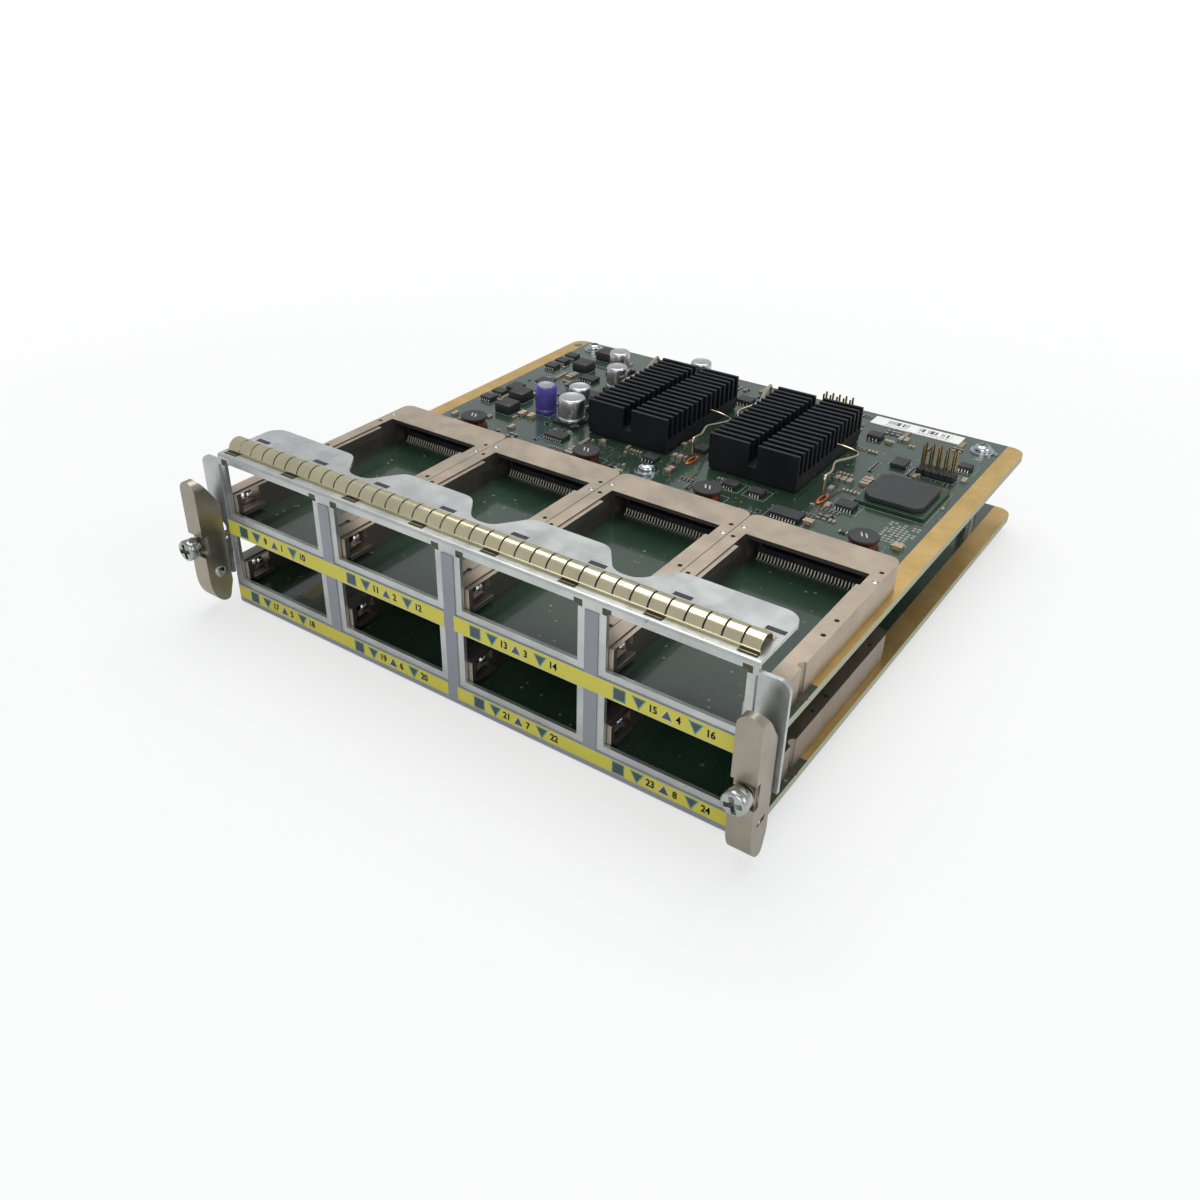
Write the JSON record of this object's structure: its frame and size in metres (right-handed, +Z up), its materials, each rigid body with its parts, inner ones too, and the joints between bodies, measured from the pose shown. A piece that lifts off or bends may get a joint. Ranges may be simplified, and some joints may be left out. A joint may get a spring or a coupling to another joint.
{
  "type": "switch line card",
  "caption": "Plug-in switch line card with two stacked circuit boards, a windowed steel faceplate, module cages, finned heat sinks and ejector levers.",
  "frame": {"origin": "on the table, under the middle of the card's outer box", "axes": "+X to the right along the face, +Y from the face to the back, +Z up"},
  "size_m": [0.1968, 0.2116, 0.0563],
  "materials": {
    "plate_steel": "pale zinc plated sheet steel, satin",
    "overlay_film": "printed polyester film, grey with yellow bands",
    "gasket_spring": "bright pale gold plated spring strip",
    "circuit_board": "green solder mask with gold edge strips",
    "cage_nickel": "satin champagne nickel on a casting",
    "connector_black": "moulded black nylon",
    "post_steel": "plated steel post",
    "screw_steel": "bright zinc plated steel",
    "chip_black": "dark moulding compound",
    "sink_black": "black anodised",
    "spring_wire": "plated spring wire",
    "anchor_orange": "orange enamelled loop",
    "lever_nickel": "satin champagne nickel on folded steel",
    "retainer_dark": "dark plated bush",
    "can_silver": "bare drawn can",
    "can_base": "black moulded foot",
    "can_sleeve": "blue violet shrink sleeve",
    "ferrite_black": "black ferrite",
    "carrier_green": "green chip carrier",
    "header_gold": "gold plated square pin",
    "ceramic_tan": "fired ceramic with bright ends",
    "lead_tin": "tinned contact feet",
    "label_white": "white film, bare"
  },
  "bodies": {
    "card": {"faceplate": "plate_steel", "faceplate_overlay": "overlay_film", "spring_gasket": "gasket_spring", "upper_board": "circuit_board", "lower_board": "circuit_board", "upper_cage_1": "cage_nickel", "upper_module_connector_1": "connector_black", "upper_cage_2": "cage_nickel", "upper_module_connector_2": "connector_black", "upper_cage_3": "cage_nickel", "upper_module_connector_3": "connector_black", "upper_cage_4": "cage_nickel", "upper_module_connector_4": "connector_black", "lower_cage_1": "cage_nickel", "lower_module_connector_1": "connector_black", "lower_cage_2": "cage_nickel", "lower_module_connector_2": "connector_black", "lower_cage_3": "cage_nickel", "lower_module_connector_3": "connector_black", "lower_cage_4": "cage_nickel", "lower_module_connector_4": "connector_black", "board_posts": "post_steel", "front_spacers": "post_steel", "board_washers": "screw_steel", "board_screws": "screw_steel", "switch_chip_left": "chip_black", "switch_chip_right": "chip_black", "small_chips": "chip_black", "control_chip_cap": "chip_black", "heat_sink_left": "sink_black", "heat_sink_right": "sink_black", "heat_sink_clip_left": "spring_wire", "heat_sink_clip_right": "spring_wire", "clip_anchors": "anchor_orange", "lever_pivot_left": "screw_steel", "host_connector_left": "connector_black", "lever_pivot_right": "screw_steel", "host_connector_right": "connector_black", "stacking_plug": "connector_black", "stacking_socket": "connector_black", "pin_header_bases": "connector_black", "silver_capacitors": "can_silver", "capacitor_bases": "can_base", "sleeved_capacitor": "can_sleeve", "drum_inductors": "ferrite_black", "power_inductors": "ferrite_black", "control_chip_carrier": "carrier_green", "pin_header_pins": "header_gold", "ceramic_capacitors": "ceramic_tan", "blank_label": "label_white", "connector_feet": "lead_tin", "cage_springs": "spring_wire"},
    "lever_left": {"lever_left": "lever_nickel", "screw_retainer_left": "retainer_dark"},
    "screw_washer_left": {"screw_washer_left": "screw_steel"},
    "captive_screw_left": {"captive_screw_left": "screw_steel"},
    "lever_right": {"lever_right": "lever_nickel", "screw_retainer_right": "retainer_dark"},
    "screw_washer_right": {"screw_washer_right": "screw_steel"},
    "captive_screw_right": {"captive_screw_right": "screw_steel"}
  },
  "joints": [
    {"name": "lever_left_swing", "type": "hinge", "parent": "card", "child": "lever_left", "pos_m": [-0.0943, -0.097, 0.0143], "axis": [1, 0, 0], "range_deg": [0, 60]},
    {"name": "captive_screw_left_travel", "type": "slide", "parent": "lever_left", "child": "screw_washer_left", "axis": [0, 1, 0], "range_m": [-0.0016, 0.0011]},
    {"name": "captive_screw_left_turn", "type": "hinge", "parent": "screw_washer_left", "child": "captive_screw_left", "pos_m": [-0.0943, -0.1032, 0.0242], "axis": [0, 1, 0], "continuous": true},
    {"name": "lever_right_swing", "type": "hinge", "parent": "card", "child": "lever_right", "pos_m": [0.0943, -0.097, 0.0143], "axis": [1, 0, 0], "range_deg": [0, 60]},
    {"name": "captive_screw_right_travel", "type": "slide", "parent": "lever_right", "child": "screw_washer_right", "axis": [0, 1, 0], "range_m": [-0.0016, 0.0011]},
    {"name": "captive_screw_right_turn", "type": "hinge", "parent": "screw_washer_right", "child": "captive_screw_right", "pos_m": [0.0943, -0.1032, 0.0242], "axis": [0, 1, 0], "continuous": true}
  ]
}
